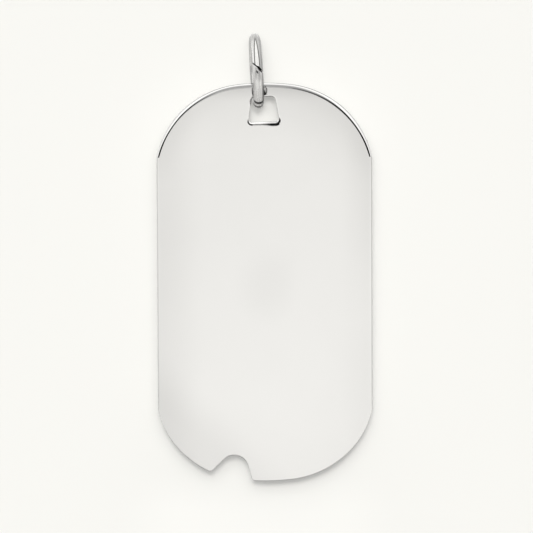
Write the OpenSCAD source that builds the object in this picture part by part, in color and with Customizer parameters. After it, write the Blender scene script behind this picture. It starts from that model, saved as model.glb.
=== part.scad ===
// An identification dog tag hanging from a jump ring, in millimetres.
// The origin is the top of the ring's eye, where a chain or a hook bears.
// +Z is up, +X is the viewer's right, and the tag's face looks along -Y.

/* [Tag plate] */
// Width across the plate's straight sides, mm
plate_w = 20.4; // [18:0.1:24]
// Length of the plate from crown to crown, mm
plate_l = 39.2; // [34:0.1:48]
// Thickness of the sheet, mm
plate_t = 0.9; // [0.6:0.05:1.1]
// Radius of the flat crown in the middle of each rounded end, mm
crown_r = 22; // [14:0.5:30]
// Radius of the shoulders as a share of half the plate's width
shoulder_share = 0.88; // [0.75:0.01:0.94]
// Angle at which a shoulder meets the straight side, degrees
side_kink = 12.5; // [8:0.5:18]

/* [Hole] */
// Distance from the top of the plate to the hole, mm
hole_drop = 1.22; // [1:0.02:1.6]
// Height of the hole, mm
hole_h = 2.62; // [2:0.02:3.4]
// Width of the hole at its narrow top, mm
hole_top_w = 2.16; // [2.1:0.02:2.8]
// Width of the hole at its wide bottom, mm
hole_bottom_w = 2.94; // [2.9:0.02:3.6]
// Radius of the hole's top corners, mm
hole_top_r = 0.42; // [0.1:0.02:0.46]
// Radius of the hole's bottom corners, mm
hole_bottom_r = 0.34; // [0.1:0.02:0.5]
// Offset of the hole from the plate's middle line, positive to the right, mm
hole_x = -0.08; // [-0.2:0.02:0.02]
// Turn of the punched hole in the plate, degrees
hole_turn = 1.4; // [-2:0.1:2]

/* [Notch] */
// Distance of the notch's round from the plate's middle line, to the left, mm
notch_left = 2.99; // [2.6:0.01:4]
// Height of the centre of the notch's round above the plate's bottom, mm
notch_up = 1.16; // [0.9:0.01:1.4]
// Radius of the notch's round, mm
notch_r = 1.41; // [1.2:0.01:1.6]
// Lean of the notch's left flank away from upright, degrees
notch_left_lean = 45; // [35:1:50]
// Lean of the notch's right flank away from upright, degrees
notch_right_lean = 15; // [8:1:20]
// Radius of the rounded tip left of the notch, mm
tip_r = 0.35; // [0.2:0.01:0.45]
// Radius of the rounded corner right of the notch, mm
corner_r = 0.3; // [0.15:0.01:0.4]

/* [Jump ring] */
// Outer diameter of the ring, mm
ring_od = 7.15; // [6.8:0.05:9]
// Thickness of the ring's wire, mm
wire_d = 1.0; // [0.8:0.02:1.04]
// Width of the saw cut through the wire, mm
cut_w = 0.12; // [0.08:0.01:0.3]
// Height of the cut on the ring, as an angle above level at the front, degrees
cut_angle = 21; // [10:1:60]
// Slant of the cut across the wire, degrees
cut_slant = 42; // [0:1:45]
// Lean of the ring to the left at its top, degrees
ring_lean = 2.2; // [0:0.1:4]
// Twist of the ring away from edge-on, its front to the right, degrees
ring_twist = 3; // [0:0.1:5]

/* [Hanging] */
// Distance of the wire from the plate's middle line where it goes through the hole, mm
wire_left = 0.585; // [0.4:0.005:0.6]
// Gap between the ring's inside and the edge of the hole that hangs on it, mm
hang_gap = 0.07; // [0.05:0.01:0.2]

/* [Hidden] */
$fn = 128;
big = 10;

shoulder_r = shoulder_share * plate_w / 2;
shoulder_x = plate_w / 2 - shoulder_r * cos(side_kink);
crown_turn = asin(shoulder_x / (crown_r - shoulder_r));
shoulder_y = crown_r - (crown_r - shoulder_r) * cos(crown_turn);
end_h = shoulder_y - shoulder_r * sin(side_kink);

ring_r = (ring_od - wire_d) / 2;
eye_r = ring_r - wire_d / 2;
arch = eye_r - sqrt(eye_r * eye_r - plate_t * plate_t / 4);
edge_above_wire = wire_d / 2 + arch + hang_gap;
wire_x = (eye_r + ring_r) * sin(ring_lean);
wire_z = -(eye_r + ring_r) * cos(ring_lean);
plate_x = wire_x + wire_left;
hole_rise = (wire_left + hole_x) * tan(hole_turn);
plate_top = wire_z + edge_above_wire + hole_drop + hole_rise;

// The tag's outline stands on the XY plane with its middle at the origin.
hole_lean = atan((hole_bottom_w - hole_top_w) / 2 / hole_h);
hole_low_x = half_hole(hole_h - hole_bottom_r) - hole_bottom_r / cos(hole_lean);
hole_high_x = half_hole(hole_top_r) - hole_top_r / cos(hole_lean);

notch_x = -notch_left;
notch_y = notch_up - plate_l / 2;
left_top = [notch_x - notch_r * cos(notch_left_lean), notch_y + notch_r * sin(notch_left_lean)];
left_way = [-sin(notch_left_lean), -cos(notch_left_lean)];
right_top = [notch_x + notch_r * cos(notch_right_lean), notch_y + notch_r * sin(notch_right_lean)];
right_way = [sin(notch_right_lean), -cos(notch_right_lean)];

left_out = [-cos(notch_left_lean), sin(notch_left_lean)];
right_out = [cos(notch_right_lean), sin(notch_right_lean)];
low_shoulder = [-shoulder_x, shoulder_y - plate_l / 2];
low_crown = [0, crown_r - plate_l / 2];
tip_c = meet(left_top + left_out * tip_r, left_way, low_shoulder, shoulder_r - tip_r);
corner_c = meet(right_top + right_out * corner_r, right_way, low_crown, crown_r - corner_r);

// Half the hole's width at a depth below its top.
function half_hole(d) = hole_top_w / 2 + d * tan(hole_lean);

// The point where a line from p along the unit vector u leaves the circle round c.
function meet(p, u, c, r) = p + u * leave((p - c) * u, (p - c) * (p - c) - r * r);

function leave(b, q) = -b + sqrt(b * b - q);

module end_arcs() {
    for (s = [-1, 1]) {
        translate([s * shoulder_x, -shoulder_y])
            circle(r = shoulder_r);
    }
    intersection() {
        translate([0, -crown_r])
            circle(r = crown_r);
        translate([0, -crown_r])
            polygon([
                [0, 0],
                [1.2 * crown_r * sin(crown_turn), 1.2 * crown_r * cos(crown_turn)],
                [-1.2 * crown_r * sin(crown_turn), 1.2 * crown_r * cos(crown_turn)]
            ]);
    }
}

module blank() {
    intersection() {
        square([plate_w, plate_l], center = true);
        union() {
            square([plate_w, plate_l - 2 * end_h], center = true);
            translate([0, plate_l / 2])
                end_arcs();
            mirror([0, 1, 0])
                translate([0, plate_l / 2])
                    end_arcs();
        }
    }
}

module hole_half() {
    polygon([
        [0, 0],
        [hole_high_x, 0],
        [hole_high_x + hole_top_r * cos(hole_lean), hole_top_r * (sin(hole_lean) - 1)],
        [hole_low_x + hole_bottom_r * cos(hole_lean), hole_bottom_r * (1 + sin(hole_lean)) - hole_h],
        [hole_low_x, -hole_h],
        [0, -hole_h]
    ]);
    translate([hole_high_x, -hole_top_r])
        circle(r = hole_top_r);
    translate([hole_low_x, hole_bottom_r - hole_h])
        circle(r = hole_bottom_r);
}

module hole() {
    translate([hole_x, plate_l / 2 - hole_drop])
        rotate(hole_turn)
            union() {
                hole_half();
                mirror([1, 0, 0])
                    hole_half();
            }
}

module notch() {
    translate([notch_x, notch_y])
        circle(r = notch_r);
    polygon([
        [notch_x, notch_y],
        left_top,
        left_top + left_way * big,
        right_top + right_way * big,
        right_top
    ]);
}

// What lies between a sharp corner and the round of radius r that replaces it.
module corner_trim(c, out, arc_centre, r) {
    along = (c - arc_centre) / norm(c - arc_centre);
    beyond = (along - out) / norm(along - out);
    difference() {
        polygon([c, c - out * r, c + beyond * 4 * r, c + along * r]);
        translate(c)
            circle(r = r);
    }
}

module plate_outline() {
    difference() {
        blank();
        hole();
        notch();
        corner_trim(tip_c, left_out, low_shoulder, tip_r);
        corner_trim(corner_c, right_out, low_crown, corner_r);
    }
}

module tag_plate() {
    color([0.9, 0.89, 0.87])
        translate([plate_x, plate_t / 2, plate_top - plate_l / 2])
            rotate([90, 0, 0])
                linear_extrude(height = plate_t)
                    plate_outline();
}

module jump_ring() {
    color([0.86, 0.85, 0.83])
        rotate([0, -ring_lean, 0])
            translate([0, 0, -eye_r])
                rotate([0, 0, ring_twist])
                    difference() {
                        rotate([0, 90, 0])
                            rotate_extrude()
                                translate([ring_r, 0])
                                    circle(d = wire_d);
                        rotate([-cut_angle, 0, 0])
                            translate([0, -ring_r, 0])
                                rotate([0, cut_slant, 0])
                                    cube([2.4 * wire_d, 2 * wire_d, cut_w], center = true);
                    }
}

tag_plate();
jump_ring();
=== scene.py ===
import math

import bpy
import numpy as np
from mathutils import Matrix, Vector
from mathutils.geometry import delaunay_2d_cdt


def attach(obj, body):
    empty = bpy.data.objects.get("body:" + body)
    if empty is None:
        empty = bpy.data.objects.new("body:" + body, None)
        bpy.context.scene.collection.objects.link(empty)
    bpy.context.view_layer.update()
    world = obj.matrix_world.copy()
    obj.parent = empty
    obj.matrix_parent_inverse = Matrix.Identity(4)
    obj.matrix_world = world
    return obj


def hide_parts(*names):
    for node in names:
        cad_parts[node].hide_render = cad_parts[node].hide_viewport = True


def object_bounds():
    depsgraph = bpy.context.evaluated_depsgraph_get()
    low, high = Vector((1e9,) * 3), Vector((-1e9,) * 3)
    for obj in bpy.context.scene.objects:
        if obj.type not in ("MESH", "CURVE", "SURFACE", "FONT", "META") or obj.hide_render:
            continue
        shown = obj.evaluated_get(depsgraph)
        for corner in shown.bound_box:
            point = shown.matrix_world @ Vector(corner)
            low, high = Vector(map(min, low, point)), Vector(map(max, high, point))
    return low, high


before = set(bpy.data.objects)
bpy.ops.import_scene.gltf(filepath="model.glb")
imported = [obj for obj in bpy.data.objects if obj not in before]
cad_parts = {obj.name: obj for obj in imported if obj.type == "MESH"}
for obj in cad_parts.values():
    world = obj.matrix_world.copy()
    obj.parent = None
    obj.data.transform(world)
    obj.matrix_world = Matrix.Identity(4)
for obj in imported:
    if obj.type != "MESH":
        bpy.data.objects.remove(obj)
cad_lo, cad_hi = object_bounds()

MM = 0.001

# Sizes of the tag and its ring, in millimetres, as in the solids.
PLATE_W = 20.4
PLATE_L = 39.2
PLATE_T = 0.9
CROWN_R = 22.0
SHOULDER_SHARE = 0.88
SHOULDER_R = SHOULDER_SHARE * PLATE_W / 2
SIDE_KINK = math.radians(12.5)

HOLE_DROP = 1.22
HOLE_H = 2.62
HOLE_TOP_W = 2.16
HOLE_BOTTOM_W = 2.94
HOLE_TOP_R = 0.42
HOLE_BOTTOM_R = 0.34
HOLE_X = -0.08
HOLE_TURN = math.radians(1.4)

NOTCH_LEFT = 2.99
NOTCH_UP = 1.16
NOTCH_R = 1.41
LEFT_LEAN = math.radians(45)
RIGHT_LEAN = math.radians(15)
TIP_R = 0.35
CORNER_R = 0.3

RING_OD = 7.15
WIRE_D = 1.0
CUT_ANGLE = math.radians(21)
CUT_SLANT = math.radians(42)
RING_LEAN = math.radians(2.2)
RING_TWIST = math.radians(3)
WIRE_LEFT = 0.585
HANG_GAP = 0.07

# Where the ring and the plate stand. The origin is the inside top of the ring.
RING_R = (RING_OD - WIRE_D) / 2
WIRE_LENGTH = 2 * math.pi * RING_R
EYE_R = RING_R - WIRE_D / 2
ARCH = EYE_R - math.sqrt(EYE_R ** 2 - PLATE_T ** 2 / 4)
WIRE_X = (EYE_R + RING_R) * math.sin(RING_LEAN)
WIRE_Z = -(EYE_R + RING_R) * math.cos(RING_LEAN)
PLATE_X = WIRE_X + WIRE_LEFT
PLATE_TOP = WIRE_Z + WIRE_D / 2 + ARCH + HANG_GAP + HOLE_DROP + (WIRE_LEFT + HOLE_X) * math.tan(HOLE_TURN)
PLATE_Z = PLATE_TOP - PLATE_L / 2
PLATE_LEFT = PLATE_X - PLATE_W / 2
PLATE_RIGHT = PLATE_X + PLATE_W / 2
PLATE_LOW = PLATE_TOP - PLATE_L
HOLE_LOW = PLATE_TOP - HOLE_DROP - HOLE_H

# Radii of the rounded rims. The front one is larger at the right shoulder and smaller along the lower end.
FRONT_RIM = 0.285
SHOULDER_EXTRA = 0.035
LOW_RIM = 0.14
BACK_RIM = 0.2
HOLE_RIM = 0.2
# Where the front rim changes, from the plate's middle, and over what distance.
SHOULDER_X = (4.5, 3)
SHOULDER_Z = (11.5, 2)
LOWER_END = (11, 3)
# The hole's worn lower right corner: its rim is larger by this share, and slumps by this angle.
HOLE_WEAR = 0.55
HOLE_SLUMP = math.radians(36)
# Where the wear starts, from the plate's middle and from the hole's lower edge, and over what distance.
WEAR_X = (-0.25, 1.1)
WEAR_DROP = (-0.75, 0.5)

# Waves in the front face: height, radians per mm along x and along z, and phase.
WAVES = (
    (0.006, 0.31, 0.13, 0.4),
    (0.004, -0.22, 0.37, 1.9),
    (0.0025, 0.53, -0.41, 3.1),
)
# Hollows in the front face: x and z from the plate's middle, radius and depth.
DENTS = (
    (-6.95, -17.35, 0.40, 0.055),
    (0.4, 1.2, 5.5, 0.018),
    (-0.3, 19.0, 0.6, 0.08),
)

# Lengths of the stretches that the outlines are divided into.
CORNER_STEP = 0.04
NOTCH_STEP = 0.07
FLANK_STEP = 0.08
HOLE_STEP = 0.1
LOW_LEFT_STEP = 0.10
SHOULDER_STEP = 0.16
CROWN_STEP = 0.25
SIDE_STEP = 0.35
# Steps round a rim in front and at the back, and the depth of the edge's row between them.
FRONT_STEPS = 8
BACK_STEPS = 6
EDGE_ROW = 0.05
# The net of triangles on the faces: the width and height of its cells, and of finer ones round the hole.
CELL = 0.55
CELL_ROW = CELL * 0.87
FINE_CELL = 0.2
FINE_ROW = 0.17
# How far the finer cells reach to both sides of the middle and down from the plate's upper end.
FINE_SIDE = 2.6
FINE_DEPTH = 5
# Net points nearer to an outline than this share of a cell are left out.
CLEAR_SHARE = 0.5
# The ring: steps along the wire and sides round it.
WIRE_STEPS = 220
WIRE_SIDES = 48
# The groove at the saw cut: distance from the cut along the wire, and how far its surface lies in there.
CUT_GROOVE = ((0.012, 0.16), (0.03, 0.07), (0.055, 0.025), (0.09, 0.004), (0.13, 0.0))
# How far from the cut the plain wire's even steps start.
PLAIN_FROM = 0.2


# Outlines of the tag and its hole, seen from the front, from the plate's middle.
def unit(v):
    v = np.asarray(v, float)
    return v / np.linalg.norm(v)


def arc(c, r, a0, a1, step, bulge=1):
    """Points from angle a0 to a1 round c, with the normals that point out of the metal."""
    n = max(3, int(abs(a1 - a0) * r / step) + 1)
    a = np.linspace(a0, a1, n)
    d = np.c_[np.cos(a), np.sin(a)]
    return np.asarray(c) + r * d, bulge * d


def line(p, q, normal, step):
    """Points from p to q, with one normal for all."""
    n = max(2, int(np.linalg.norm(np.subtract(q, p)) / step) + 1)
    t = np.linspace(0, 1, n)[:, None]
    return np.asarray(p) * (1 - t) + np.asarray(q) * t, np.tile(normal, (n, 1))


def meet(p, u, c, r):
    """Where the line from p along u leaves the circle round c."""
    b = (p - c) @ u
    return p + u * (-b + math.sqrt(b * b - (p - c) @ (p - c) + r * r))


def join(parts):
    """One closed run of points. Each stretch between two points keeps its own two normals."""
    pts, first, last = [], [], []
    for p, n in parts:
        for i in range(len(p) - 1):
            pts.append(p[i])
            first.append(n[i])
            last.append(n[i + 1])
    pts, first, last = map(np.array, (pts, first, last))
    before = np.roll(last, 1, axis=0)
    mitre = (before + first) / (1 + (before * first).sum(1))[:, None]
    return pts, first, last, mitre


def tag_outline():
    half_w, half_l = PLATE_W / 2, PLATE_L / 2
    sx = half_w - SHOULDER_R * math.cos(SIDE_KINK)
    turn = math.asin(sx / (CROWN_R - SHOULDER_R))
    sy = CROWN_R - (CROWN_R - SHOULDER_R) * math.cos(turn)
    side = half_l - (sy - SHOULDER_R * math.sin(SIDE_KINK))
    notch = np.array([-NOTCH_LEFT, NOTCH_UP - half_l])
    left_out = np.array([-math.cos(LEFT_LEAN), math.sin(LEFT_LEAN)])
    left_way = np.array([-math.sin(LEFT_LEAN), -math.cos(LEFT_LEAN)])
    right_out = np.array([math.cos(RIGHT_LEAN), math.sin(RIGHT_LEAN)])
    right_way = np.array([math.sin(RIGHT_LEAN), -math.cos(RIGHT_LEAN)])
    low_shoulder = np.array([-sx, sy - half_l])
    low_crown = np.array([0.0, CROWN_R - half_l])
    left_top = notch + NOTCH_R * left_out
    right_top = notch + NOTCH_R * right_out
    tip = meet(left_top + left_out * TIP_R, left_way, low_shoulder, SHOULDER_R - TIP_R)
    corner = meet(right_top + right_out * CORNER_R, right_way, low_crown, CROWN_R - CORNER_R)
    a_corner = math.atan2(*(corner - low_crown)[::-1])
    a_tip = math.atan2(*(tip - low_shoulder)[::-1])
    down = -math.pi / 2
    return join([
        arc(corner, CORNER_R, RIGHT_LEAN - math.pi, a_corner, CORNER_STEP),
        arc(low_crown, CROWN_R, a_corner, down + turn, CROWN_STEP),
        arc((sx, sy - half_l), SHOULDER_R, down + turn, -SIDE_KINK, SHOULDER_STEP),
        line((half_w, -side), (half_w, side), (1.0, 0.0), SIDE_STEP),
        arc((sx, half_l - sy), SHOULDER_R, SIDE_KINK, -down - turn, SHOULDER_STEP),
        arc((0.0, half_l - CROWN_R), CROWN_R, -down - turn, -down + turn, CROWN_STEP),
        arc((-sx, half_l - sy), SHOULDER_R, -down + turn, math.pi - SIDE_KINK, SHOULDER_STEP),
        line((-half_w, side), (-half_w, -side), (-1.0, 0.0), SIDE_STEP),
        arc(low_shoulder, SHOULDER_R, math.pi + SIDE_KINK, a_tip + 2 * math.pi, LOW_LEFT_STEP),
        arc(tip, TIP_R, a_tip, -LEFT_LEAN, CORNER_STEP),
        line(tip - left_out * TIP_R, left_top, -left_out, FLANK_STEP),
        arc(notch, NOTCH_R, math.pi - LEFT_LEAN, RIGHT_LEAN, NOTCH_STEP, -1),
        line(right_top, corner - right_out * CORNER_R, -right_out, FLANK_STEP),
    ])


def hole_outline():
    lean = math.atan((HOLE_BOTTOM_W - HOLE_TOP_W) / 2 / HOLE_H)

    def centre_x(depth, radius):
        """How far from the hole's middle a corner's centre lies, at a depth below the hole's top."""
        return HOLE_TOP_W / 2 + depth * math.tan(lean) - radius / math.cos(lean)

    low_x = centre_x(HOLE_H - HOLE_BOTTOM_R, HOLE_BOTTOM_R)
    high_x = centre_x(HOLE_TOP_R, HOLE_TOP_R)
    high, low = -HOLE_TOP_R, HOLE_BOTTOM_R - HOLE_H
    top_r, low_r = HOLE_TOP_R, HOLE_BOTTOM_R
    quarter = math.pi / 2
    out = np.array([math.cos(lean), math.sin(lean)])
    left_out = out * np.array([-1.0, 1.0])
    parts = [
        arc((low_x, low), low_r, -quarter, lean, CORNER_STEP),
        line((low_x, low) + out * low_r, (high_x, high) + out * top_r, out, HOLE_STEP),
        arc((high_x, high), top_r, lean, quarter, CORNER_STEP),
        line((high_x, 0.0), (-high_x, 0.0), (0.0, 1.0), HOLE_STEP),
        arc((-high_x, high), top_r, quarter, math.pi - lean, CORNER_STEP),
        line((-high_x, high) + left_out * top_r, (-low_x, low) + left_out * low_r, left_out, HOLE_STEP),
        arc((-low_x, low), low_r, math.pi - lean, math.pi + quarter, CORNER_STEP),
        line((-low_x, -HOLE_H), (low_x, -HOLE_H), (0.0, -1.0), HOLE_STEP),
    ]
    cos, sin = math.cos(HOLE_TURN), math.sin(HOLE_TURN)
    turn = np.array([[cos, sin], [-sin, cos]])
    place = np.array([HOLE_X, PLATE_L / 2 - HOLE_DROP])
    return join([((p @ turn + place)[::-1], -(n @ turn)[::-1]) for p, n in reversed(parts)])


# The plate's mesh
def hollow(x, z):
    """How far the front face lies behind a true plane, in mm, and its slopes along x and z."""
    depth, dx, dz = np.zeros_like(x), np.zeros_like(x), np.zeros_like(x)
    for height, kx, kz, phase in WAVES:
        s = kx * x + kz * z + phase
        depth += height * (1 + np.sin(s))
        dx += height * kx * np.cos(s)
        dz += height * kz * np.cos(s)
    for cx, cz, radius, deep in DENTS:
        e = deep * np.exp(-((x - cx) ** 2 + (z - cz) ** 2) / radius ** 2)
        depth += e
        dx += -2 * (x - cx) / radius ** 2 * e
        dz += -2 * (z - cz) / radius ** 2 * e
    return depth, dx, dz


def inside(p, poly):
    """Which of the points p lie inside the closed run poly."""
    x, y = p[:, 0][:, None], p[:, 1][:, None]
    a, b = poly, np.roll(poly, -1, axis=0)
    cross = (a[:, 1] > y) != (b[:, 1] > y)
    with np.errstate(divide="ignore", invalid="ignore"):
        at = a[:, 0] + (y - a[:, 1]) * (b[:, 0] - a[:, 0]) / (b[:, 1] - a[:, 1])
    return (cross & (x < at)).sum(1) % 2 == 1


def grid(xs, zs, cell):
    """The points of a net of triangles, every second row moved by half a cell."""
    return np.array([(x + (j % 2) * cell / 2, z) for j, z in enumerate(zs) for x in xs])


def face_net(rings):
    """Triangles over the face between the rings: its points (the rings' own first) and its triangles."""
    outer, hole = rings
    border = np.vstack(rings)
    edges, k = [], 0
    for r in rings:
        edges += [(k + i, k + (i + 1) % len(r)) for i in range(len(r))]
        k += len(r)
    half_w, half_l = PLATE_W / 2, PLATE_L / 2
    fine_low = half_l - FINE_DEPTH
    net = grid(np.arange(-half_w, half_w, CELL), np.arange(-half_l, half_l, CELL_ROW), CELL)
    fine = grid(np.arange(-FINE_SIDE, FINE_SIDE, FINE_CELL), np.arange(fine_low, half_l, FINE_ROW), FINE_CELL)
    close = (np.abs(net[:, 0]) < FINE_SIDE) & (net[:, 1] > fine_low)
    net = np.vstack([net[~close], fine])
    size = np.r_[np.full((~close).sum(), CELL), np.full(len(fine), FINE_CELL)]
    keep = inside(net, outer) & ~inside(net, hole)
    net, size = net[keep], size[keep]
    near = ((net[:, None, :] - border[None, :, :]) ** 2).sum(2).min(1)
    net = net[near > (CLEAR_SHARE * size) ** 2]
    pts = np.vstack([border, net])
    v, _, f, ov, _, _ = delaunay_2d_cdt([Vector(p) for p in pts], edges, [], 0, 1e-6)
    back = [o[0] if o else -1 for o in ov]
    assert min(back) >= 0 and len(v) == len(pts)
    tri = np.array([[back[i] for i in t] for t in f])
    mid = pts[tri].mean(1)
    tri = tri[inside(mid, outer) & ~inside(mid, hole)]
    a, b, c = pts[tri[:, 0]], pts[tri[:, 1]], pts[tri[:, 2]]
    area = (b[:, 0] - a[:, 0]) * (c[:, 1] - a[:, 1]) - (b[:, 1] - a[:, 1]) * (c[:, 0] - a[:, 0])
    tri[area < 0] = tri[area < 0][:, ::-1]
    return pts, tri


def rise(value, start, reach):
    """A smooth rise from 0 at the start to 1 at the end of the reach."""
    t = np.clip((value - start) / reach, 0, 1)
    return t * t * (3 - 2 * t)


def turned(normals, angles):
    c, s = np.cos(angles), np.sin(angles)
    return np.c_[normals[:, 0] * c - normals[:, 1] * s, normals[:, 0] * s + normals[:, 1] * c]


def rim_profile(front):
    """Steps of the rim from front to back: insets, depths, and the normal's outward and depth parts."""
    half_t = PLATE_T / 2
    same = np.ones_like(front)
    rows = []
    for k in range(FRONT_STEPS + 1):
        a = k / FRONT_STEPS * math.pi / 2
        inset = front * (1 - math.sin(a))
        depth = -half_t + front * (1 - math.cos(a))
        rows.append((inset, depth, math.sin(a), -math.cos(a)))
    rows.append((0 * same, EDGE_ROW * same, 1.0, 0.0))
    for k in range(BACK_STEPS + 1):
        a = (1 - k / BACK_STEPS) * math.pi / 2
        inset = BACK_RIM * (1 - math.sin(a)) * same
        depth = (half_t - BACK_RIM * (1 - math.cos(a))) * same
        rows.append((inset, depth, math.sin(a), math.cos(a)))
    return rows


def outer_rim(pts):
    """The front rim's radius at the points of the tag's outline."""
    x, z = pts.T
    rim = FRONT_RIM + SHOULDER_EXTRA * rise(x, *SHOULDER_X) * rise(z, *SHOULDER_Z)
    return rim + (LOW_RIM - FRONT_RIM) * rise(-z, *LOWER_END)


def worn_share(pts):
    """How worn the hole's rim is at its points: 1 in its lower right corner, 0 in the rest."""
    x, z = pts.T
    low_edge = PLATE_L / 2 - HOLE_DROP - HOLE_H
    return rise(x, *WEAR_X) * rise(low_edge - z, *WEAR_DROP)


def dented(x, y, z):
    """The depth y after the front face's hollows, which fade out towards the back."""
    half_t = PLATE_T / 2
    share = np.clip((half_t - BACK_RIM - y) / (2 * half_t - BACK_RIM), 0, 1)
    return y + hollow(x, z)[0] * share


def add_rim(shape, loop, levels):
    """Adds the edge along one outline, and returns where each of its levels starts in the points."""
    verts, faces, normals = shape
    pts, first, last, mitre = loop
    n, starts = len(pts), []
    for inset, y, _, _ in levels:
        p = pts - mitre * inset[:, None]
        starts.append(len(verts))
        verts.extend(zip(p[:, 0], dented(p[:, 0], y, p[:, 1]), p[:, 1]))
    _, dx, dz = hollow(pts[:, 0], pts[:, 1])
    for k in range(len(levels) - 1):
        for i in range(n):
            j = (i + 1) % n
            quad = [(k, i, first[i]), (k + 1, i, first[i]), (k + 1, j, last[i]), (k, j, last[i])]
            faces.append([starts[level] + v for level, v, _ in quad])
            for level, v, out in quad:
                s, c = levels[level][2], levels[level][3]
                tilt = -c * max(0.0, -c)
                normals.append(unit([out[0] * s + dx[v] * tilt, c, out[1] * s + dz[v] * tilt]))
    return starts


def add_face(shape, loops, profiles, starts, level, sign):
    """Adds the front face, with sign -1, or the back face, with sign 1, between the rims."""
    verts, faces, normals = shape
    rings = [p - m * levels[level][0][:, None] for (p, _, _, m), levels in zip(loops, profiles)]
    pts, tri = face_net(rings)
    place = []
    for ring, start in zip(rings, starts):
        place += [start[level] + i for i in range(len(ring))]
    extra = pts[len(place):]
    place += [len(verts) + i for i in range(len(extra))]
    y = dented(extra[:, 0], np.full(len(extra), sign * PLATE_T / 2), extra[:, 1])
    verts.extend(zip(extra[:, 0], y, extra[:, 1]))
    if sign < 0:
        _, dx, dz = hollow(pts[:, 0], pts[:, 1])
    else:
        dx = dz = np.zeros(len(pts))
    nrm = np.c_[dx, np.full(len(pts), float(sign)), dz]
    nrm /= np.linalg.norm(nrm, axis=1)[:, None]
    for t in tri:
        t = t if sign < 0 else t[::-1]
        faces.append([place[i] for i in t])
        normals.extend(nrm[i] for i in t)


def plate_mesh():
    """The tag with rounded rims. Each corner of each face carries the true normal of the surface there."""
    outer = tag_outline()
    pts, first, last, mitre = hole_outline()
    worn = worn_share(pts)
    slumped_first = turned(first, HOLE_SLUMP * worn)
    slumped_last = turned(last, HOLE_SLUMP * np.roll(worn, -1))
    loops = [outer, (pts, slumped_first, slumped_last, mitre)]
    profiles = [rim_profile(outer_rim(outer[0])), rim_profile(HOLE_RIM * (1 + HOLE_WEAR * worn))]
    shape = [], [], []
    starts = [add_rim(shape, loop, levels) for loop, levels in zip(loops, profiles)]
    add_face(shape, loops, profiles, starts, 0, -1)
    add_face(shape, loops, profiles, starts, len(profiles[0]) - 1, 1)
    verts, faces, normals = shape
    return np.array(verts), faces, np.array(normals)


# The ring's mesh
def ring_mesh():
    """The wire from one side of the saw cut round to the other, its ends cut along the slant."""
    along = list(CUT_GROOVE)
    along += [(d, 0.0) for d in np.linspace(PLAIN_FROM, WIRE_LENGTH - PLAIN_FROM, WIRE_STEPS)]
    along += [(WIRE_LENGTH - d, cut) for d, cut in reversed(CUT_GROOVE)]
    rows, sides = len(along), WIRE_SIDES
    points = []
    for d, cut in along:
        row = []
        for v in range(sides):
            b = 2 * math.pi * v / sides + math.pi
            across, outward = math.sin(b), math.cos(b)
            r = WIRE_D / 2 - cut
            skew = across * r * math.tan(CUT_SLANT)
            ang = CUT_ANGLE + (d - skew) / RING_R
            rad = RING_R + r * outward
            row.append((across * r, -rad * math.cos(ang), rad * math.sin(ang)))
        points.append(row)
    points = np.array(points)
    du = np.gradient(points, axis=0)
    dv = np.roll(points, -1, axis=1) - np.roll(points, 1, axis=1)
    nrm = np.cross(du, dv)
    nrm /= np.linalg.norm(nrm, axis=2)[:, :, None]
    mid = points.mean(1)[:, None, :]
    if ((points - mid) * nrm).sum() < 0:
        nrm = -nrm
    faces, normals, uv = [], [], []
    for u in range(rows - 1):
        u0, u1 = along[u][0] / WIRE_LENGTH, along[u + 1][0] / WIRE_LENGTH
        for v in range(sides):
            v0, v1 = v / sides, (v + 1) / sides
            w = (v + 1) % sides
            quad = [(u, v), (u, w), (u + 1, w), (u + 1, v)]
            faces.append([i * sides + j for i, j in quad])
            normals.extend(nrm[i, j] for i, j in quad)
            uv.extend(((u0, v0), (u0, v1), (u1, v1), (u1, v0)))
    for u, inward in ((0, 1), (rows - 1, -1)):
        cap = [u * sides + v for v in range(sides)]
        out = unit(mid[u, 0] - mid[u + inward, 0])
        faces.append(cap if u else cap[::-1])
        normals.extend([out] * sides)
        uv.extend([(float(u > 0), 0.5)] * sides)
    return points.reshape(-1, 3), faces, normals, uv


# The visible pieces
def new_object(name, verts, faces, normals, move):
    me = bpy.data.meshes.new(name)
    me.from_pydata([tuple((np.array(v) + move) * MM) for v in verts], [], faces)
    for p in me.polygons:
        p.use_smooth = True
    me.normals_split_custom_set([tuple(n) for n in normals])
    ob = bpy.data.objects.new(name, me)
    bpy.context.scene.collection.objects.link(ob)
    return ob


def rotation(axis, angle):
    return np.array(Matrix.Rotation(angle, 3, axis))


plate = new_object("tag_body", *plate_mesh(), np.array([PLATE_X, 0.0, PLATE_Z]))
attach(plate, "tag")
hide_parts("tag_plate")

wire_verts, wire_faces, wire_normals, wire_uv = ring_mesh()
twist = rotation("Z", RING_TWIST)
lean = rotation("Y", -RING_LEAN)
wire_verts = (wire_verts @ twist.T + np.array([0, 0, -EYE_R])) @ lean.T
wire_normals = [lean @ twist @ np.array(n) for n in wire_normals]
ring = new_object("ring_wire", wire_verts, wire_faces, wire_normals, np.zeros(3))
uv_layer = ring.data.uv_layers.new(name="along")
for i, place in enumerate(wire_uv):
    uv_layer.data[i].uv = place
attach(ring, "ring")
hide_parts("jump_ring")


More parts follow.
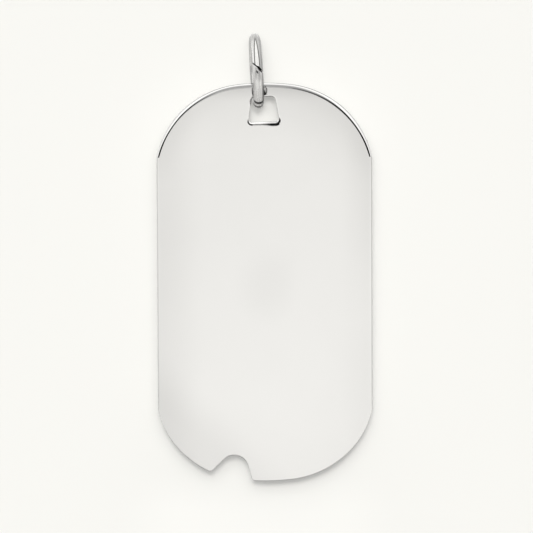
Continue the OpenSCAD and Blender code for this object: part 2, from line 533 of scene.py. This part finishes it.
# Shader nodes
class Field:
    """A number that varies over a surface: a node's output, with plain arithmetic."""

    def __init__(self, nt, socket):
        self.nt = nt
        self.socket = socket

    def __add__(self, other):
        return maths(self.nt, "ADD", self, other)

    def __sub__(self, other):
        return maths(self.nt, "SUBTRACT", self, other)

    def __rsub__(self, other):
        return maths(self.nt, "SUBTRACT", other, self)

    def __mul__(self, other):
        return maths(self.nt, "MULTIPLY", self, other)

    def __truediv__(self, other):
        return maths(self.nt, "DIVIDE", self, other)

    def __abs__(self):
        return maths(self.nt, "ABSOLUTE", self)

    def step(self, lo, hi, a=0.0, b=1.0):
        """A smooth step from a to b while the field goes from lo to hi. It works for lo above hi too."""
        if lo > hi:
            lo, hi, a, b = hi, lo, b, a
        n = self.nt.nodes.new("ShaderNodeMapRange")
        n.interpolation_type = "SMOOTHSTEP"
        for name, value in (("From Min", lo), ("From Max", hi), ("To Min", a), ("To Max", b)):
            n.inputs[name].default_value = value
        self.feed(n.inputs["Value"])
        return Field(self.nt, n.outputs[0])

    def band(self, start, full, fade, end):
        """1 from full to fade, 0 outside start and end, and smooth between them."""
        return self.step(start, full) * self.step(end, fade)

    def step_mm(self, lo, hi, a=0.0, b=1.0):
        """A step whose places are in millimetres."""
        return self.step(lo * MM, hi * MM, a, b)

    def band_mm(self, start, full, fade, end):
        """A band whose places are in millimetres."""
        return self.band(start * MM, full * MM, fade * MM, end * MM)

    def dimmed(self, where, share=1.0):
        """This brightness, less the given share of it where the second field is 1."""
        return self * (1.0 - where * share)

    def drawn_to(self, where, level):
        """This brightness, brought to a level where the second field is 1."""
        return self + where * (level - self)

    def feed(self, socket):
        self.nt.links.new(self.socket, socket)


def maths(nt, operation, *values):
    """The result of a Math node on fields or plain numbers."""
    n = nt.nodes.new("ShaderNodeMath")
    n.operation = operation
    for socket, value in zip(n.inputs, values):
        if isinstance(value, Field):
            value.feed(socket)
        else:
            socket.default_value = value
    return Field(nt, n.outputs[0])


def total(fields):
    result = fields[0]
    for field in fields[1:]:
        result = result + field
    return result


def split(nt, vector):
    """The three parts of a vector as fields."""
    n = nt.nodes.new("ShaderNodeSeparateXYZ")
    nt.links.new(vector, n.inputs[0])
    return [Field(nt, part) for part in n.outputs]


def distance(across, up):
    """How far a place lies from a point, from its two distances."""
    nt = across.nt
    both = nt.nodes.new("ShaderNodeCombineXYZ")
    across.feed(both.inputs[0])
    up.feed(both.inputs[2])
    n = nt.nodes.new("ShaderNodeVectorMath")
    n.operation = "LENGTH"
    nt.links.new(both.outputs[0], n.inputs[0])
    return Field(nt, n.outputs["Value"])


def noise(nt, place, scale, detail, roughness=0.5):
    n = nt.nodes.new("ShaderNodeTexNoise")
    for name, value in (("Scale", scale), ("Detail", detail), ("Roughness", roughness)):
        n.inputs[name].default_value = value
    nt.links.new(place, n.inputs["Vector"])
    return Field(nt, n.outputs[0])


def colour(bright, socket, tint=(1.0, 1.0, 1.0)):
    """Gives a socket the colour of a fixed tint at a varying brightness."""
    n = bright.nt.nodes.new("ShaderNodeCombineColor")
    for i, share in enumerate(tint):
        (bright * share).feed(n.inputs[i])
    bright.nt.links.new(n.outputs[0], socket)


def material(name):
    """A new material with a Principled shader: the material, its node tree and the shader."""
    m = bpy.data.materials.new(name)
    m.use_nodes = True
    nt = m.node_tree
    nt.nodes.clear()
    out = nt.nodes.new("ShaderNodeOutputMaterial")
    bsdf = nt.nodes.new("ShaderNodeBsdfPrincipled")
    nt.links.new(bsdf.outputs[0], out.inputs[0])
    return m, nt, bsdf


# The polished plate: its colour and brightness, its roughness, and the noise in its haze and its roughness.
PLATE_TINT = (1.0, 0.998, 0.992)
POLISH = 0.91
PLATE_ROUGHNESS = (0.035, 0.07)
CLOUD_SCALE = 110.0
GLOSS_SCALE = 2500.0
# What the painted shade takes from the polish in each place, and the random clouds of haze, as
# face_shade_and_clouds adds them up.
LEFT_FACE_SHADE = 0.08
RIGHT_FACE_SHADE = 0.072
UPPER_FACE_SHADE = 0.05
UPPER_EDGE_SHADE = 0.12
SHOULDER_SHADE = 0.04
UPPER_RIGHT_SHADE = 0.05
LOWER_LEFT_SHADE = 0.078
CLOUD_HAZE = 0.006
LOWER_RIGHT_SHADE = 0.022
LOWER_FACE_SHADE = (0.009, 0.017)
PATCH_SHADE = 0.038
# How far the centres of the round painted shades lie below the plate's upper end, and the patch's right of
# its middle.
SHOULDERS_DROP = 9.6
PATCH_DROP = 19.8
PATCH_X = 0.2
# The patch's width as a share of its height.
PATCH_SQUEEZE = 0.8
# Painted shade on the right, left and lower rims: their brightness against the face. Then a painted
# highlight, the line above the lower rim.
RIGHT_RIM_SHADE = 0.50
LEFT_RIM_SHADE = 0.58
LOWER_RIM_SHADE = 0.17
GLINT = 0.04
# The slopes at which these start, as parts of the surface's normal.
SIDE_RIM_SLOPE = 0.55
LOWER_RIM_SLOPE = (-0.36, -0.65)
GLINT_SLOPE = (-0.30, -0.20, -0.12, -0.05)
# Painted shade in a dark band behind the upper edge: its darkness, where it starts from front to back and by
# slope, and how much further forward it starts towards the sides.
BACK_EDGE_SHADE = 0.82
BACK_EDGE_SHADE_Y = (0.10, 0.17)
BACK_EDGE_SHADE_SLOPE = (0.2, 0.45)
BACK_EDGE_SHADE_FORWARD = 0.36
# Painted shade in dark strokes on the rim at the hole's lower right and lower left corners. Where each
# starts, is
# full, fades and ends: by slope, right of the plate's middle and above the hole's lower edge. Then its
# darkness.
SHADE_STROKES = (
    ((-0.98, -0.88, -0.45, -0.15), (-0.3, 0.7, 1.9, 2.2), (-0.9, -0.7, 0.3, 0.7), 0.97),
    ((-0.99, -0.96, -0.75, -0.55), (-2.1, -1.9, -1.2, -1.0), (-0.9, -0.7, 0.25, 0.50), 0.85),
)


def face_shade_and_clouds(nt, place, x, z):
    """How much painted shade, darker towards the edges and in a patch in the middle, and random clouds take
    from the polish, by place on the face.
    """
    left, right, low, top = PLATE_LEFT, PLATE_RIGHT, PLATE_LOW, PLATE_TOP
    left_side = x.step_mm(left + 4.8, left, 0.0, LEFT_FACE_SHADE)
    right_side = x.step_mm(right - 3.4, right, 0.0, RIGHT_FACE_SHADE) * z.step_mm(top - 20, top - 13, 0.45, 1.0)
    upper_end = z.step_mm(top - 6.5, top, 0.0, UPPER_FACE_SHADE)
    upper_edge = z.step_mm(top - 1.8, top, 0.0, UPPER_EDGE_SHADE)
    from_centre = distance(x - PLATE_X * MM, z - (top - SHOULDERS_DROP) * MM)
    shoulders = from_centre.step_mm(7.6, 10.2, 0.0, SHOULDER_SHADE) * z.step_mm(top - 10, top - 6)
    upper_right = ((right * MM - x) + (top * MM - z)).step_mm(15, 5, 0.0, UPPER_RIGHT_SHADE)
    lower_left = ((x - left * MM) + (z - low * MM)).step_mm(14, 7.5, 0.0, LOWER_LEFT_SHADE)
    clouds = noise(nt, place, CLOUD_SCALE, 3.0).step(0.3, 0.7, -CLOUD_HAZE, CLOUD_HAZE)
    lower_right = x.step_mm(right - 6, right - 1, 0.0, LOWER_RIGHT_SHADE) * z.step_mm(top - 22, top - 27)
    lower_part = (x.step_mm(left + 9, left + 3, *LOWER_FACE_SHADE) + lower_right) * z.step_mm(top - 10, top - 16)
    patch_up = (z - (top - PATCH_DROP) * MM) * PATCH_SQUEEZE
    patch = distance(x - (PLATE_X + PATCH_X) * MM, patch_up).step_mm(3.8, 0.4, 0.0, PATCH_SHADE)
    return total([left_side, right_side, upper_end, upper_edge, shoulders, upper_right, lower_left,
                  clouds, lower_part, patch])


def hole_shade_strokes(x, z, ny):
    """Painted shade in dark strokes on the rim at the hole's lower corners, the right one longer and darker.
    """
    strokes = []
    for slope, across, up, dark in SHADE_STROKES:
        stroke = ny.band(*slope) * x.band_mm(*(PLATE_X + c for c in across))
        stroke = stroke * z.band_mm(*(HOLE_LOW + c for c in up))
        strokes.append(stroke * dark)
    return total(strokes)


def plate_material():
    """Mirror silver with painted shade towards the edges of the face and on the rims at the sides and below.
    """
    m, nt, bsdf = material("polished_silver_sheet")
    coord = nt.nodes.new("ShaderNodeTexCoord")
    place = coord.outputs["Object"]
    x, y, z = split(nt, place)
    nx, ny, nz = split(nt, coord.outputs["Normal"])
    # Painted shade on the face, darker towards its edges and in a middle patch, with random clouds.
    bright = POLISH - face_shade_and_clouds(nt, place, x, z)
    # Painted shade on the side rims and the lower rim, and a painted highlight above the lower rim.
    bright = bright * nx.step(SIDE_RIM_SLOPE, 1.0, 1.0, RIGHT_RIM_SHADE)
    bright = bright * nx.step(-SIDE_RIM_SLOPE, -1.0, 1.0, LEFT_RIM_SHADE)
    bright = bright + nz.band(*GLINT_SLOPE) * GLINT
    bright = bright * nz.step(*LOWER_RIM_SLOPE, 1.0, LOWER_RIM_SHADE)
    # Painted shade in a dark band behind the upper edge.
    back_edge_shade = (y + abs(nx) * (BACK_EDGE_SHADE_FORWARD * MM)).step_mm(*BACK_EDGE_SHADE_Y) * nz.step(*BACK_EDGE_SHADE_SLOPE)
    bright = bright.dimmed(back_edge_shade, BACK_EDGE_SHADE)
    # Painted shade in dark strokes at the hole's lower corners.
    bright = bright.dimmed(hole_shade_strokes(x, z, ny))
    colour(bright, bsdf.inputs["Base Color"], PLATE_TINT)
    roughness = noise(nt, place, GLOSS_SCALE, 4.0, 0.6).step(0.3, 0.8, *PLATE_ROUGHNESS)
    roughness.feed(bsdf.inputs["Roughness"])
    bsdf.inputs["Metallic"].default_value = 1.0
    return m


# The ring's wire: its colour, its brightness and roughness in the fine lines along it, and those lines.
WIRE_TINT = (1.0, 0.995, 0.985)
WIRE_TONES = (0.50, 0.92)
WIRE_ROUGHNESS = (0.34, 0.24)
LINE_STRETCH = (5.0, 30.0, 1.0)
LINE_SCALE = 1.6
LINE_RELIEF = 0.35
LINE_HEIGHT = 0.03 * MM
# The brightness that the painted highlights are brought to, and how far the sheen goes towards it.
STRIPE_LEVEL = 0.97
SHEEN_LEVEL = 0.82
GLEAM_LEVEL = 0.97
SHEEN_SHARE = 0.75
# Painted light and shade: the share of the brightness that the wire keeps, elsewhere and just under the cut.
UNDER_CUT_TONES = (0.80, 0.95)
# The share of the brightness that the dark marks take: painted shade, and the pit.
STRIPE_SIDE_SHADE = 0.30
STRIPE_LINE_DARK = 0.74
CREST_DARK = 0.33
FAR_EDGE_DARK = 0.42
NEAR_TAG_SHADE_DARK = 0.90
NEAR_TAG_SPECULAR_SHADE = 0.92
PIT_DARK = 0.9
# How metallic the wire is, and how much less so in the painted highlights.
WIRE_METAL = 0.7
STRIPE_MATT = 0.17
SHEEN_MATT = 0.06
GLEAM_MATT = 0.45
# The saw cut's dark line: its half width, how much wider it is right of the middle, and its soft side.
SEAM_HALF = 0.05
SEAM_WIDER = 0.10
SEAM_SOFT = 0.03
# Painted shade where the wire passes through the hole: dark arcs for its shadow and the mirrored hole edge.
# Place along the wire, half width and darkness of each arc. It fades out at so many times its half width.
DARK_ARCS = ((0.822, 0.007, 0.95), (0.780, 0.0095, 0.92))
DARK_ARC_FADES = 1.5
# Places of the marks along the wire (U) and round it (V), as ring_material counts them. Four numbers are
# where a band starts, is full, fades and ends, and two are where a step starts and ends. Those of an edge
# or a line are distances from the middle of its mark.
UPPER_ARM_U = (0.18, 0.13)
STRIPE_V = 0.488
STRIPE_TAPER = 3.0
STRIPE_EDGE = (0.064, 0.054)
STRIPE_LINE = (0.054, 0.064, 0.085, 0.10)
STRIPE_SHADE_EDGE = (0.054, 0.07)
STRIPE_SHADE_V = (0.50, 0.54)
CREST_U = (0.12, 0.16, 0.30, 0.36)
SHEEN_V = (0.315, 0.335, 0.385, 0.405)
SHEEN_U = (0.09, 0.03)
FAR_ARM_U = (0.44, 0.47, 0.67, 0.69)
FAR_EDGE_V = (0.10, 0.125, 0.26, 0.32)
GLEAM_V = (0.02, 0.045, 0.10, 0.118)
GLEAM_U = (0.49, 0.505)
UNDER_CUT_U = (0.90, 0.95)
NEAR_TAG_SHADE_V = (0.65, 0.70, 0.81, 0.87)
NEAR_TAG_SHADE_U = (0.80, 0.84, 0.90, 0.93)
SEAM_WIDER_V = (0.47, 0.53, 0.60, 0.66)
PIT_U = (0.970, 0.974, 0.980, 0.984)
PIT_V = 0.475
PIT_EDGE = (0.034, 0.022)
# Painted shade in dark flanks on the right, the left, and the left of the near arm's lower half: the band
# round the wire, and the step along it with the darkness before and after it.
FLANKS = (
    ((0.57, 0.64, 0.76, 0.84), (0.5, 0.8, 0.34, 0.62)),
    ((0.16, 0.24, 0.30, 0.33), (0.5, 0.8, 0.55, 0.12)),
    ((0.16, 0.24, 0.34, 0.42), (0.88, 0.92, 0.0, 0.24)),
)


def ring_material():
    """Drawn wire with fine lines along it, painted highlights and painted shade, and dark inside the saw cut.

    u runs along the wire, from the cut over the top and round to the cut again. v runs round it:
    0.5 is the outside, 0 and 1 the inside, 0.25 the left and 0.75 the right.
    """
    m, nt, bsdf = material("drawn_silver_wire")
    uv_map = nt.nodes.new("ShaderNodeUVMap")
    uv_map.uv_map = "along"
    stretch = nt.nodes.new("ShaderNodeMapping")
    stretch.inputs["Scale"].default_value = LINE_STRETCH
    nt.links.new(uv_map.outputs[0], stretch.inputs[0])
    streak = noise(nt, stretch.outputs[0], LINE_SCALE, 5.0, 0.6)
    bright = streak.step(0.32, 0.68, *WIRE_TONES)
    u, v, _ = split(nt, uv_map.outputs[0])

    # The distance from the cut, and the place along the wire without the cut's slant.
    end = maths(nt, "MINIMUM", u, 1.0 - u)
    sway = maths(nt, "SINE", v * (2 * math.pi)) * (WIRE_D / 2 * math.tan(CUT_SLANT) / WIRE_LENGTH)
    straight = u + sway * end.step(0.02, 0.08)

    # The near arm above the cut: a painted highlight, a bright stripe that ends in a point, with painted
    # shade in a dark line on both sides and to its right.
    upper = straight.step(*UPPER_ARM_U)
    point = abs(v - STRIPE_V) + (u * u) * STRIPE_TAPER
    stripe = point.step(*STRIPE_EDGE) * upper
    bright = bright.drawn_to(stripe, STRIPE_LEVEL)
    stripe_shade = point.step(*STRIPE_SHADE_EDGE) * v.step(*STRIPE_SHADE_V, 0.0, STRIPE_SIDE_SHADE)
    stripe_shade = maths(nt, "MAXIMUM", stripe_shade, point.band(*STRIPE_LINE) * STRIPE_LINE_DARK)
    bright = bright.dimmed(stripe_shade * upper)

    # Painted shade makes the top of the ring darker, and a second, weaker painted highlight lies on the left
    # above the cut.
    bright = bright.dimmed(straight.band(*CREST_U), CREST_DARK)
    sheen = v.band(*SHEEN_V) * straight.step(*SHEEN_U, 0.0, SHEEN_SHARE)
    bright = bright.drawn_to(sheen, SHEEN_LEVEL)

    # The dark flanks: painted shade.
    bright = bright.dimmed(total([v.band(*across) * straight.step(*along) for across, along in FLANKS]))

    # The far arm, seen left of the near one: painted shade on a dark edge and a painted highlight, a bright
    # streak, beside it.
    far_arm = straight.band(*FAR_ARM_U)
    bright = bright.dimmed(v.band(*FAR_EDGE_V) * far_arm, FAR_EDGE_DARK)
    gleam = v.band(*GLEAM_V) * (far_arm * straight.step(*GLEAM_U))
    bright = bright.drawn_to(gleam, GLEAM_LEVEL)

    # Painted light and shade: the wire stays brighter just under the cut. Further down, where it nears the
    # tag, painted shade lies on its right side.
    bright = bright * u.step(*UNDER_CUT_U, *UNDER_CUT_TONES)
    near_tag_shade = v.band(*NEAR_TAG_SHADE_V) * straight.band(*NEAR_TAG_SHADE_U)
    bright = bright.dimmed(near_tag_shade, NEAR_TAG_SHADE_DARK)

    # The cut's dark line, wider right of the middle, and a small pit under it.
    seam = v.band(*SEAM_WIDER_V) * (SEAM_WIDER / WIRE_LENGTH) + SEAM_HALF / WIRE_LENGTH
    bright = bright * (end - seam).step(0.0, SEAM_SOFT / WIRE_LENGTH, 0.01, 1.0)
    pit = u.band(*PIT_U) * abs(v - PIT_V).step(*PIT_EDGE)
    bright = bright.dimmed(pit, PIT_DARK)

    # Painted shade in dark arcs where the wire passes through the hole.
    for at, half_width, dark in DARK_ARCS:
        dark_arc = abs(straight - at).step(half_width, half_width * DARK_ARC_FADES, dark, 0.0)
        bright = bright.dimmed(dark_arc)

    colour(bright, bsdf.inputs["Base Color"], WIRE_TINT)
    # The painted shade near the tag darkens the specular tint too.
    colour(1.0 - near_tag_shade * NEAR_TAG_SPECULAR_SHADE, bsdf.inputs["Specular Tint"])
    streak.step(0.3, 0.7, *WIRE_ROUGHNESS).feed(bsdf.inputs["Roughness"])
    # The painted highlights are less metallic.
    metallic = WIRE_METAL - (stripe * STRIPE_MATT + sheen * SHEEN_MATT + gleam * GLEAM_MATT)
    metallic.feed(bsdf.inputs["Metallic"])
    bump = nt.nodes.new("ShaderNodeBump")
    bump.inputs["Strength"].default_value = LINE_RELIEF
    bump.inputs["Distance"].default_value = LINE_HEIGHT
    streak.feed(bump.inputs["Height"])
    nt.links.new(bump.outputs[0], bsdf.inputs["Normal"])
    return m


plate.data.materials.append(plate_material())
ring.data.materials.append(ring_material())


# Stage: a pale floor under the hanging tag, a pale board close behind it and a round tent over both.
WARM = (1.0, 0.995, 0.975)
FLOOR_TINT = (1.0, 0.994, 0.985)
BOARD_TINT = (1.0, 0.995, 0.966)
BOARD_TONE = 0.40
GRAIN_SCALE = 40.0
# The floor's tones, and where it goes from the first to the second, towards the front: painted shade.
FLOOR_TONES = (0.713, 0.655)
FLOOR_DARKENS = (-30, -170)
# The board's own light, and what it has more of under the tag, by height and to both sides.
BOARD_GLOW = 0.30
UNDER_GLOW = 0.035
UNDER_Z = (-42.5, -47.5)
UNDER_X = (14, 7)
# What it has less of behind the hole: how much, how far below the plate's upper end, and how far round it.
HOLE_SHADE = 0.06
HOLE_SHADE_DROP = 3.6
HOLE_SHADE_X = (2.8, 1.2)
HOLE_SHADE_Z = (3.0, 1.2)
# The floor's height under the tag and half its width. The board's place behind the ring's middle, half its
# width and its upper edge.
FLOOR_DROP = 8.0
FLOOR_Z = cad_lo.z / MM - FLOOR_DROP
FLOOR_HALF = 3000.0
BOARD_Y = 4.2
BOARD_HALF = 600
BOARD_TOP = 500
# The tent: its radius, the height of its middle, its cells in degrees, and the share of its light that
# matt surfaces don't get.
HOOD_R = 225.0
HOOD_Z = -10.0
HOOD_TURN = 4
HOOD_RISE = 5
HOOD_MATT_LOSS = 0.75
# Its greys: the dark one low and high up, the pale one ahead and behind, and how much of the dark one there
# is near the middle and further out.
HOOD_DARK = (0.01, 0.58)
HOOD_PALE = (0.66, 1.35)
HOOD_DARK_SHARE = (0.84, 1.0)


def matt(name, tint):
    """A matt material: the material, its shader, the place on it and the tone of its grain."""
    m, nt, bsdf = material(name)
    place = nt.nodes.new("ShaderNodeTexCoord").outputs["Object"]
    grain = noise(nt, place, GRAIN_SCALE, 2.0).step(0.3, 0.7, 0.997, 1.0)
    bsdf.inputs["Roughness"].default_value = 0.9
    bsdf.inputs["Specular IOR Level"].default_value = 0.0
    bsdf.inputs["Emission Color"].default_value = (*tint, 1.0)
    bsdf.inputs["Emission Strength"].default_value = 0.0
    return m, bsdf, split(nt, place), grain


def floor_material():
    """Pale, with painted shade that makes it a little darker towards the front."""
    m, bsdf, (_, y, _), grain = matt("pale_floor", FLOOR_TINT)
    colour(grain * y.step_mm(*FLOOR_DARKENS, *FLOOR_TONES), bsdf.inputs["Base Color"], FLOOR_TINT)
    return m


def board_material():
    """Pale, partly lit by itself, and seen from the front only."""
    m, bsdf, (x, _, z), grain = matt("pale_board", BOARD_TINT)
    nt = m.node_tree
    colour(grain * BOARD_TONE, bsdf.inputs["Base Color"], BOARD_TINT)
    under = z.step_mm(*UNDER_Z) * abs(x).step_mm(*UNDER_X)
    hole_z = (PLATE_TOP - HOLE_SHADE_DROP) * MM
    hole = abs(x - PLATE_X * MM).step_mm(*HOLE_SHADE_X) * abs(z - hole_z).step_mm(*HOLE_SHADE_Z)
    glow = under * UNDER_GLOW - hole * HOLE_SHADE
    (glow + BOARD_GLOW).feed(bsdf.inputs["Emission Strength"])
    out = next(n for n in nt.nodes if n.type == "OUTPUT_MATERIAL")
    mix = nt.nodes.new("ShaderNodeMixShader")
    clear = nt.nodes.new("ShaderNodeBsdfTransparent")
    geometry = nt.nodes.new("ShaderNodeNewGeometry")
    nt.links.new(geometry.outputs["Backfacing"], mix.inputs[0])
    nt.links.new(bsdf.outputs[0], mix.inputs[1])
    nt.links.new(clear.outputs[0], mix.inputs[2])
    nt.links.new(mix.outputs[0], out.inputs[0])
    return m


def hood_material():
    """Greys round the tag, by direction: pale ahead, dark beside that, white behind and to the sides."""
    m = bpy.data.materials.new("hood")
    m.use_nodes = True
    nt = m.node_tree
    nt.nodes.clear()
    out = nt.nodes.new("ShaderNodeOutputMaterial")
    emit = nt.nodes.new("ShaderNodeEmission")
    x, y, z = split(nt, nt.nodes.new("ShaderNodeNewGeometry").outputs["Position"])
    wx = (x - PLATE_X * MM) / (HOOD_R * MM)
    wy = y / (HOOD_R * MM)
    wz = (z - HOOD_Z * MM) / (HOOD_R * MM)
    # How far to the side a direction counts, uneven so that the rims' lines differ left and right.
    aside = abs(wx) - wx.step(0.0, -0.25, 0.0, 0.20)
    aside = aside + (wx.step(0.03, 0.10, 0.0, 0.03) - wx.step(0.38, 0.66, 0.0, 0.15))
    behind = wy + (aside * aside) * wz.step(0.0, 0.35, 1.0, 2.6)
    outer = behind.step(0.30, 0.46, 1.0, 0.0)
    inner = maths(nt, "MAXIMUM", aside.step(0.07, 0.15), wz.step(0.50, 0.66))
    dark = (outer * inner) * abs(wx).step(0.15, 0.50, *HOOD_DARK_SHARE)
    dark_level = wz.step(0.30, 0.92, *HOOD_DARK)
    pale_level = behind.step(0.30, 0.50, *HOOD_PALE)
    level = dark * dark_level + (1.0 - dark) * pale_level
    bounces = Field(nt, nt.nodes.new("ShaderNodeLightPath").outputs["Diffuse Depth"])
    level = level.dimmed(maths(nt, "MINIMUM", bounces, 1.0), HOOD_MATT_LOSS)
    colour(level, emit.inputs[0], WARM)
    nt.links.new(emit.outputs[0], out.inputs[0])
    return m


def stage_piece(name, points, faces, mat):
    me = bpy.data.meshes.new(name)
    me.from_pydata([tuple(c * MM for c in p) for p in points], [], faces)
    ob = bpy.data.objects.new(name, me)
    bpy.context.scene.collection.objects.link(ob)
    me.materials.append(mat)
    return ob


def add_floor_and_board():
    a = FLOOR_HALF
    corners = [(-a, -a, FLOOR_Z), (a, -a, FLOOR_Z), (a, a, FLOOR_Z), (-a, a, FLOOR_Z)]
    floor = stage_piece("floor", corners, [(0, 1, 2, 3)], floor_material())
    floor.visible_diffuse = False
    a, y, low, top = BOARD_HALF, BOARD_Y, FLOOR_Z, BOARD_TOP
    corners = [(-a, y, low), (a, y, low), (a, y, top), (-a, y, top)]
    board = stage_piece("board", corners, [(0, 1, 2, 3)], board_material())
    board.visible_glossy = False
    board.visible_diffuse = False
    board.visible_shadow = False


def add_hood():
    """A round tent over the tag that only mirrors see. It makes the lines along the rims."""
    turns = [math.radians(a) for a in range(0, 360, HOOD_TURN)]
    rises = [math.radians(e) for e in range(0, 90, HOOD_RISE)]
    rows = [(HOOD_R, FLOOR_Z)]
    rows += [(HOOD_R * math.cos(e), HOOD_Z + HOOD_R * math.sin(e)) for e in rises]
    k = len(turns)
    pts = [(PLATE_X + r * math.sin(a), -r * math.cos(a), z) for r, z in rows for a in turns]
    pts.append((PLATE_X, 0.0, HOOD_Z + HOOD_R))
    faces = [(i * k + j, i * k + (j + 1) % k, (i + 1) * k + (j + 1) % k, (i + 1) * k + j)
             for i in range(len(rows) - 1) for j in range(k)]
    top = (len(rows) - 1) * k
    faces += [(top + j, top + (j + 1) % k, len(pts) - 1) for j in range(k)]
    ob = stage_piece("hood", pts, faces, hood_material())
    ob.visible_camera = False
    ob.visible_diffuse = False
    ob.visible_shadow = False
    ob.visible_transmission = False


add_floor_and_board()
add_hood()


# Light: a soft dome, brightest above, and two soft keys from the front and above.
KEY_TURN = math.radians(-0.5)
# The keys: name, strength, and their angular width and height above level in degrees.
KEYS = (("key_small", 2.2, 6, 21.5), ("key_wide", 2.36, 26, 23.5))
# The dome's strength, its tones above, ahead and behind, and the tone that the camera sees.
DOME_STRENGTH = 0.64
DOME_ABOVE = 1.7
DOME_AHEAD = 0.25
DOME_BEHIND = 1.0
BACKGROUND = 1.45


def add_dome():
    world = bpy.data.worlds.new("studio")
    bpy.context.scene.world = world
    world.use_nodes = True
    nt = world.node_tree
    nt.nodes.clear()
    out = nt.nodes.new("ShaderNodeOutputWorld")
    background = nt.nodes.new("ShaderNodeBackground")
    nt.links.new(background.outputs[0], out.inputs[0])
    _, y, z = split(nt, nt.nodes.new("ShaderNodeTexCoord").outputs["Generated"])
    above = z.step(0.45, 0.75)
    behind = y.step(-0.05, 0.45)
    low = behind * (DOME_BEHIND - DOME_AHEAD) + DOME_AHEAD
    dome = low * (1.0 - above) + above * DOME_ABOVE
    seen = Field(nt, nt.nodes.new("ShaderNodeLightPath").outputs["Is Camera Ray"])
    colour(maths(nt, "MAXIMUM", dome, seen * BACKGROUND), background.inputs["Color"], WARM)
    background.inputs["Strength"].default_value = DOME_STRENGTH


def add_keys():
    for name, energy, width, height in KEYS:
        sun = bpy.data.lights.new(name, "SUN")
        sun.energy = energy
        sun.angle = math.radians(width)
        sun.color = WARM
        ob = bpy.data.objects.new(name, sun)
        ob.rotation_euler = (math.radians(90 - height), 0, KEY_TURN)
        ob.visible_glossy = False
        bpy.context.scene.collection.objects.link(ob)


add_dome()
add_keys()


# Camera: the photo's view, from a little above, through a long lens.
LENS = 1200.0
SENSOR = 36.0
# The nearest and the farthest that the camera sees, in metres.
NEAREST = 0.1
FARTHEST = 10.0
TILT = math.radians(16)
ROLL = math.radians(-0.25)
# The photo's width in pixels, and the size of one in millimetres.
PHOTO_PIXELS = 533
PIXEL = 0.095
# What the camera looks at, from the plate's middle.
AIM_X = 0.1615
AIM_Z = 1.695


def add_camera():
    cam = bpy.data.cameras.new("camera")
    cam.lens = LENS
    cam.sensor_width = SENSOR
    cam.clip_start = NEAREST
    cam.clip_end = FARTHEST
    away = PHOTO_PIXELS * PIXEL * MM * LENS / SENSOR
    target = Vector((PLATE_X + AIM_X, -PLATE_T / 2, PLATE_Z + AIM_Z)) * MM
    back_way = Vector((0.0, -math.cos(TILT), math.sin(TILT)))
    look = (-back_way).to_track_quat("-Z", "Y")
    ob = bpy.data.objects.new("camera", cam)
    ob.rotation_mode = "QUATERNION"
    ob.location = target + back_way * away
    ob.rotation_quaternion = look @ Matrix.Rotation(ROLL, 3, "Z").to_quaternion()
    bpy.context.scene.collection.objects.link(ob)
    bpy.context.scene.camera = ob


add_camera()
bpy.context.scene.view_settings.view_transform = "Standard"
